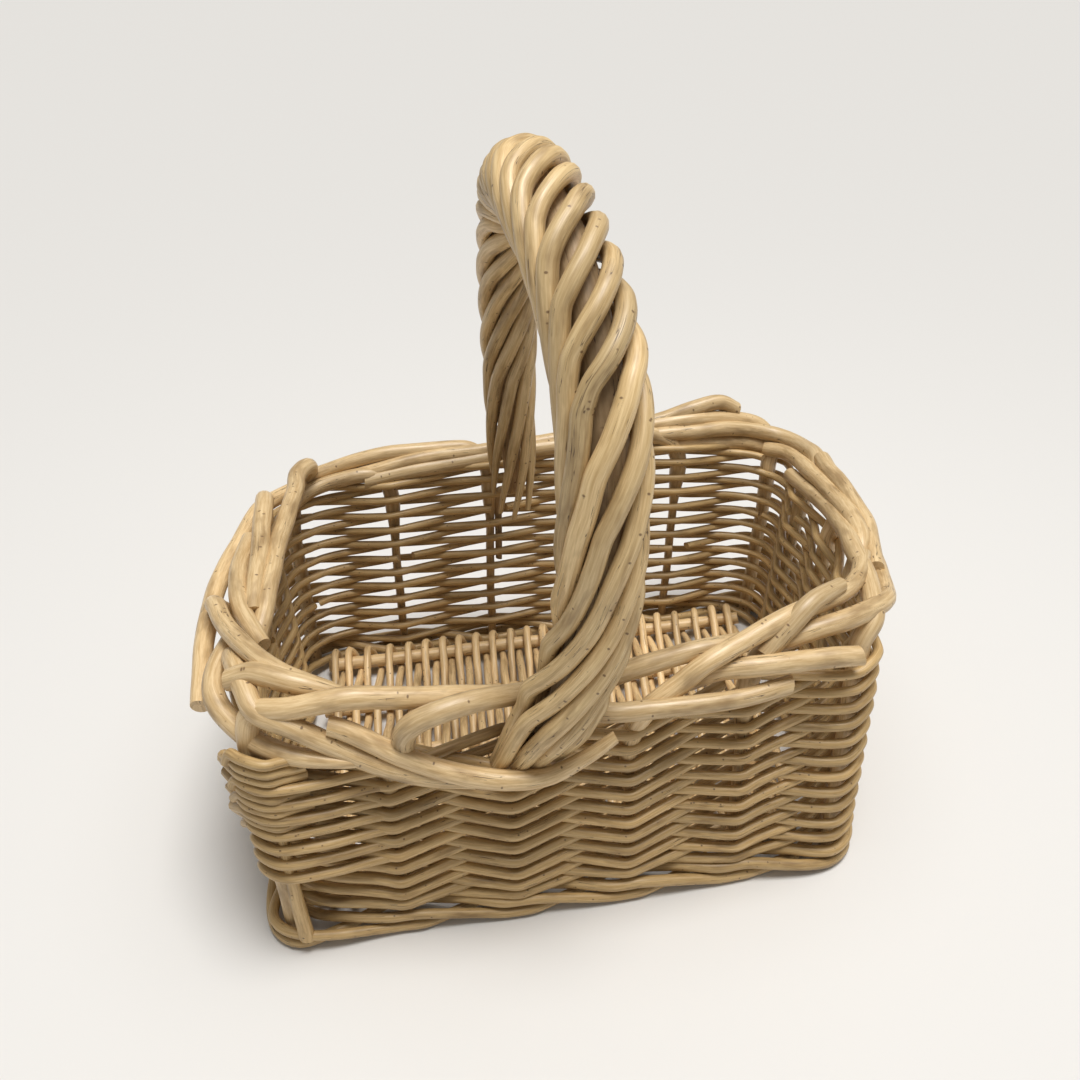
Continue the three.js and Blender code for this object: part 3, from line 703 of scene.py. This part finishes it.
# Each packing rod has the places it starts and ends at, its level, and a row that it weaves like.
packing_rods = ((9.15, 13.85, 1.045, 22), (9.35, 13.6, 1.085, 23))
for number, (start, end, level, row) in enumerate(packing_rods):
    chance = np.random.default_rng(340 + number)
    places = np.arange(start, end, 0.04)
    height, out = row_points(places, level, row)
    route = wall_points(places, height, out)
    rod = lay_rod(f"packing_rod_{number + 1}", route, (0.0019, 0.0018), chance, bend=0.0009)
    finish_rod(rod, None, shaded_weaver_willow)

# The rows at which rods wrap round the corner, and how far each rises and stands out as it goes, in
# millimetres. The upper ones are cut roughly and stick out past the corner.
corner_rows = (24.3, 23.1, 22.1, 21, 19.9, 19, 18.1, 17, 16.2, 15, 13, 11, 9)
rough_above_row = 14
corner_rise = (0, 0.2, 1.4, 2.4, 2.8, 2.5)
corner_outward = (4.6, 5.2, 7.4, 9.6, 8.3, 6.4, 5.5)
sticking_out = np.array((0, 0, 0, 0, 0, 0.4, 1))
past_corner = 17.97
rough_end = 17.74
most_sticking_out = 0.003
for number, row in enumerate(corner_rows):
    chance = np.random.default_rng(360 + number)
    rough = row > rough_above_row
    low = row_points(np.array((1.0,)), row / (weaver_rows - 1), weaver_rows - 1)[0][0]
    end_place = rough_end + 0.2 * chance.random() if rough else past_corner
    sticks_out = most_sticking_out * chance.random() if rough else 0
    start = 0.95 if row == int(row) else 0.45
    places = (start, start * 0.8 + 0.05, 0.5 * start + 0.08, 0.23, 0.06, past_corner, end_place)
    rise = 0.001 * np.array((*corner_rise, 1 - 4 * chance.random()))
    outward = 0.001 * np.array(corner_outward) + sticks_out * sticking_out
    route = bend_through(wall_points(places, low + rise, outward), 60)
    radii = (0.0019, 0.0018 + 0.0004 * chance.random(), 0.002)
    rod = lay_rod(f"corner_end_{number + 1}", route, radii, chance, bend=0.0009)
    finish_rod(rod, None, shaded_weaver_willow)

stand_places = (0.21, 0.21, 0.22, 0.25)
stand_heights = (0.008, 0.03, 0.06, 0.088)
stand_outward = (0.0062, 0.007, 0.0072, 0.0062)
route = bend_through(wall_points(stand_places, stand_heights, stand_outward), 40)
rod = lay_rod("corner_stand", route, (0.0031, 0.0026, 0.0019, 0.0018), np.random.default_rng(380))
finish_rod(rod, None, shaded_weaver_willow)

# Handle bow: one thick willow stick arches over the basket. Its pared ends are pushed down into the weave
# beside a stake, the near one outside the front wall and the far one inside the back wall.
bow_willow = willow("bow_willow", pale=(0.54, 0.38, 0.21), tan=(0.36, 0.235, 0.115),
                    deep=(0.08, 0.04, 0.02), rough=0.55, specks=0.25, splits=0.6, gloss=0.03)
bow_radius = 0.0072
handle_top = 0.2655
foot_x = -0.014 + plan_middle[0]
top_x = foot_x + 0.010
near_foot_height = rim_height - 0.017
far_foot_height = rim_height - 0.033
near_foot_out = 0.0115
far_foot_out = -0.018

# The arch from the near foot to the far one: how far across, how high, and how far it leans to the right.
arch_across = (-1, -1, -0.965, -0.81, -0.485, 0, 0.485, 0.81, 0.965, 1, 0.99)
arch_rise = (0, 0.26, 0.51, 0.74, 0.92, 1, 0.93, 0.77, 0.55, 0.3, 0)
arch_lean = (0, 0.83, 1.06, 1.15, 0.92, 0.6, 0.55, 0.5, 0.45, 0.4, 0.35)
lean_reach = 0.020


def place_on_side(corner, x):
    """The place on the long side that starts at a corner, at a distance along the basket."""
    start, end = rim_corners[corner][0], rim_corners[corner + 1][0]
    return corner / 2 * half_round + front_gaps * (x - start) / (end - start)


near_leg_place = place_on_side(0, top_x)
far_leg_place = place_on_side(2, top_x)
near_foot_y = wall_points(near_leg_place, rim_height, near_foot_out)[0][1]
far_foot_y = wall_points(far_leg_place, rim_height, far_foot_out)[0][1]
arch_points = []
for index, across in enumerate(arch_across):
    low = near_foot_height if across < 0 else far_foot_height
    arch_points.append((foot_x + lean_reach * arch_lean[index],
                        (near_foot_y + far_foot_y) / 2 + (far_foot_y - near_foot_y) / 2 * across,
                        low + (handle_top - low) * arch_rise[index]))
arch, arch_length = even_steps(bend_through(arch_points, 600, slack=True), 0.0005)
arch_run = np.linspace(0, 1, len(arch))


def on_arch(shares):
    """Points of the bow's middle line, from 0 at the near foot to 1 at the far one."""
    return np.column_stack([np.interp(shares, arch_run, arch[:, side]) for side in range(3)])


stake_spacing = 0.048
tip_radius = 0.0017
tip_gap = 0.0006
tip_bend = 0.002
tip_depth = 0.04


def bow_tip(stake, side, foot_out):
    """A pared tip beside a stake, from just above the weave down into it."""
    place = stake + side * (stake_radius + tip_radius + tip_gap) / stake_spacing
    top = first_row_height + weaver_rows * row_pitch
    heights = np.array((top + tip_bend, top, top - tip_depth))
    return wall_points(place, heights, np.array((math.copysign(tip_bend, foot_out), 0, 0)))


near_tip = bow_tip(math.floor(near_leg_place), 1, near_foot_out)[::-1]
far_tip = bow_tip(math.ceil(far_leg_place), -1, far_foot_out)
route = np.vstack((near_tip, on_arch(np.linspace(0.012, 0.945, 120)), far_tip))
chance = np.random.default_rng(400)
tip_length = 0.043
tip_share = tip_length / (arch_length + 2 * tip_length)
radii = np.interp(np.linspace(0, 1, 200),
                  (0, tip_share, tip_share * 1.9, 1 - tip_share * 2.6, 1 - tip_share * 1.3, 1),
                  (tip_radius, 0.0019, bow_radius, bow_radius, 0.0021, tip_radius))
rod = lay_rod("handle_bow_rod", route, radii, chance, bend=0.003, waver=0.0002, sides=16)
finish_rod(rod, "handle_bow", bow_willow)

# Handle wraps: eight long willow rods start side by side, spread flat, at the near foot. They are wound
# round the bow, steeply up the legs and more slantwise over the top, with a kink at each turn of the
# near leg, and are pushed in at the far foot.
handle_willow = willow("handle_willow", pale=(0.745, 0.555, 0.295), tan=(0.51, 0.34, 0.148),
                       deep=(0.12, 0.06, 0.023), rough=0.45, specks=0.11, splits=0.5, gloss=0.16,
                       fibre_length=0.016)
wrap_radius = 0.0033
wrap_rods = 8
wrap_turns = 3.6

# Pairs of a share of the bow and a value there: the part of all turns made, the rods' distance from its
# middle, how strongly they kink, how wide they spread, how flat they lie, and their taper.
wrap_turned = ((0, 0), (0.12, 0.085), (0.3, 0.235), (0.42, 0.37), (0.6, 0.60), (0.8, 0.76), (1, 0.85))
wrap_offsets = ((0, 0.0092), (0.14, 0.0096), (0.25, 0.0108), (0.6, 0.0108), (0.8, 0.0092), (1, 0.0094))
kinking = ((0, 0), (0.12, 0), (0.3, 0.8), (0.46, 0.8), (0.6, 0.3), (0.74, 0))
foot_spread = ((0, 1.55), (0.08, 1.35), (0.22, 1.05), (0.3, 1))
foot_flat = ((0, 1), (0.06, 1), (0.2, 0))
wrap_taper = ((0, 1), (0.3, 1.04), (0.85, 0.95), (0.93, 0.8), (1, 0.35))

# A kink starts at the left side of the bow, and for the first part of a turn the rod runs steeply there.
left_side = 0.40
steep_part = (0, 0.40, 1)
steep_turned = (0, 0.19, 1)
lift_stops = (0, 0.3, 0.5, 0.85, 1)
lift_over = (-0.0012, 0.0002, 0.0014, 0.0004, -0.0012)
left_swell = 0.24


def wrap_points(wrap, shares):
    """Points of one wrap at shares of the bow's length."""
    centres = on_arch(shares)
    along = on_arch(np.minimum(shares + 0.001, 1)) - on_arch(np.maximum(shares - 0.001, 0))
    along /= np.linalg.norm(along, axis=1)[:, None]
    sideways = np.array((1, 0, 0)) - along * along[:, :1]
    sideways /= np.linalg.norm(sideways, axis=1)[:, None]
    outward = np.cross(along, sideways)
    turned = np.interp(shares, *zip(*wrap_turned))
    turns = wrap / wrap_rods + wrap_turns * turned
    since_left = np.mod(turns - left_side, 1)
    kinked = turns - since_left + np.interp(since_left, steep_part, steep_turned)
    strength = np.interp(shares, *zip(*kinking))
    turns = turns * (1 - strength) + kinked * strength
    lying_over = strength * np.interp(since_left, lift_stops, lift_over)
    offset = (np.interp(shares, *zip(*wrap_offsets)) + lying_over)[:, None]
    angle = 2 * math.pi * turns[:, None]
    flat = np.interp(shares, *zip(*foot_flat))[:, None]
    across = flat * (4 * np.abs(np.mod(turns, 1) - 0.5)[:, None] - 1) + (1 - flat) * np.cos(angle)
    across = across * np.interp(shares, *zip(*foot_spread))[:, None]
    across = across * (1 + left_swell * strength[:, None] * (across < 0))
    return centres + offset * (across * sideways + outward * np.sin(angle))


start = 0.012 / arch_length
near_end = 0.96
end_inset = 0.026
end_stagger = 0.012
tuck_left = 0.006
tuck_in = 0.004
tuck_down = 0.012
for wrap in range(wrap_rods):
    chance = np.random.default_rng(500 + wrap)
    facing = (wrap_points(wrap, np.array((near_end,))) - on_arch(np.array((near_end,))))[0]
    facing /= np.linalg.norm(facing)
    end = 1 - (end_inset + end_stagger * facing[1]) / arch_length
    route = wrap_points(wrap, np.linspace(start, end, 260))
    foot = route[0] - on_arch(np.array((start,)))[0]
    tuck = on_arch(np.array((0.0,)))[0]
    tuck = tuck + np.array((foot[0] - tuck_left, foot[1] * 0.3 + tuck_in, -tuck_down))
    route = np.vstack((bend_through((tuck, route[0], route[12]), 40)[:20], route[1:]))
    thick = wrap_radius * (0.94 + 0.14 * chance.random())
    radii = thick * np.interp(np.linspace(0, 1, 80), *zip(*wrap_taper))
    rod = lay_rod(f"handle_wrap_{wrap + 1}_rod", route, radii, chance, bend=0.0012, sides=12)
    finish_rod(rod, f"handle_wrap_{wrap + 1}", handle_willow)

# Ground: the basket stands on a plain pale matt surface that runs on past the view. It is one flat sheet
# and only shows the basket's shadow.
floor_half_width = 9
floor_colour = (0.74, 0.73, 0.716, 1)
floor_mesh = bpy.data.meshes.new("floor")
sheet = bmesh.new()
bmesh.ops.create_grid(sheet, x_segments=1, y_segments=1, size=floor_half_width)
sheet.to_mesh(floor_mesh)
sheet.free()
floor = bpy.data.objects.new("floor", floor_mesh)
bpy.context.scene.collection.objects.link(floor)
floor_paint = bpy.data.materials.new("floor_paint")
floor_paint.use_nodes = True
floor_shader = floor_paint.node_tree.nodes["Principled BSDF"]
floor_shader.inputs["Base Color"].default_value = floor_colour
floor_shader.inputs["Roughness"].default_value = 0.9
floor_mesh.materials.append(floor_paint)

# Light: soft light falls from above. An even pale sky fills the shadows, a broad lamp far above casts
# them, and a round lamp close over the handle lights it a little more than the base.
warm_white = (1.0, 0.985, 0.955)
world = bpy.data.worlds.new("soft_room")
bpy.context.scene.world = world
world.use_nodes = True
world.node_tree.nodes["Background"].inputs["Color"].default_value = (1.0, 0.985, 0.96, 1)
world.node_tree.nodes["Background"].inputs["Strength"].default_value = 0.27
sky_lamp = bpy.data.lights.new("sky_lamp", "SUN")
sky_lamp.energy = 2.6
sky_lamp.angle = math.radians(26)
sky_lamp.color = warm_white
lamp = bpy.data.objects.new("sky_lamp", sky_lamp)
lamp.rotation_euler = (math.radians(3), math.radians(8), 0)
bpy.context.scene.collection.objects.link(lamp)

near_lamp = bpy.data.lights.new("near_lamp", "AREA")
near_lamp.shape = "DISK"
near_lamp.size = 0.4
near_lamp.energy = 0.8
near_lamp.color = warm_white
lamp = bpy.data.objects.new("near_lamp", near_lamp)
lamp.location = (0.06, -0.04, 0.62)
lamp.rotation_euler = (math.radians(-4), math.radians(6), 0)
bpy.context.scene.collection.objects.link(lamp)

# Camera: it stands above and in front of the basket, turned a little to its left, as the basket's corners
# in the photograph show. Its angles are in radians, and its focal length and shifts in the photograph's
# own pixels.
photo_width = 1080
focal_pixels = 949.27
shift_pixels = (-6.84, -3.09)
sensor_width = 36
turn, rise, roll = -0.12862, 0.58110, -0.02829
look_at = np.array((0.00317 + plan_middle[0], 0.01506 + plan_middle[1], 0.110))
distance = 0.41759
backward = np.array((math.sin(turn) * math.cos(rise), -math.cos(turn) * math.cos(rise), math.sin(rise)))
level = np.cross((0, 0, 1), backward)
level /= np.linalg.norm(level)
upward = np.cross(backward, level)
right = math.cos(roll) * level + math.sin(roll) * upward
above = -math.sin(roll) * level + math.cos(roll) * upward
spot = look_at + backward * distance
eye = bpy.data.cameras.new("camera")
eye.sensor_width = sensor_width
eye.lens = focal_pixels / photo_width * sensor_width
eye.shift_x = shift_pixels[0] / photo_width
eye.shift_y = shift_pixels[1] / photo_width
eye.clip_start = 0.01
camera = bpy.data.objects.new("camera", eye)
camera.matrix_world = Matrix([[right[axis], above[axis], backward[axis], spot[axis]] for axis in range(3)]
                             + [[0, 0, 0, 1]])
bpy.context.scene.collection.objects.link(camera)
bpy.context.scene.camera = camera
bpy.context.scene.view_settings.view_transform = "Standard"
